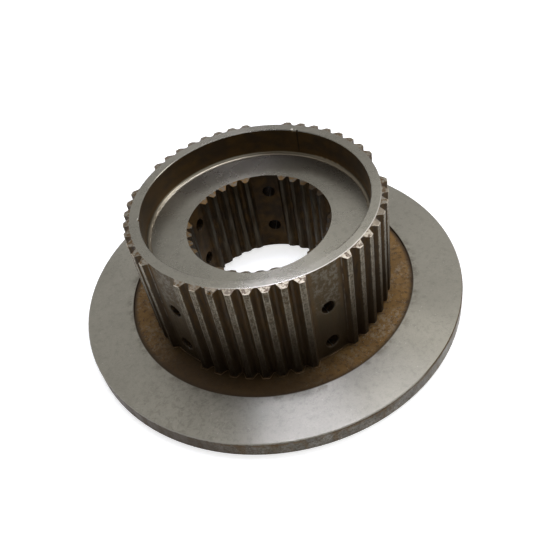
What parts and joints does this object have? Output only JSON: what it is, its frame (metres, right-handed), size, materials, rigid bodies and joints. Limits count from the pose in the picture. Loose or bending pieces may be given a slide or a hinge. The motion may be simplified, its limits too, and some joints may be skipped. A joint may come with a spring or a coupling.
{
  "type": "clutch hub",
  "caption": "Round flanged hub with a splined sleeve, toothless windows with radial oil holes, a counterbore and a splined bore.",
  "frame": {"origin": "on the hub's axis, in the plane of the flange's back face", "axes": "+Z along the hub's axis, from the flange towards the free end of the sleeve; +X through the middle of the toothless window that the outer and inner splines share"},
  "size_m": [0.2, 0.2, 0.0665],
  "materials": {
    "hub_steel": "worn satin machined steel, rust brown where it isn't ground"
  },
  "bodies": {
    "root": {"clutch_hub": "hub_steel"}
  },
  "joints": []
}
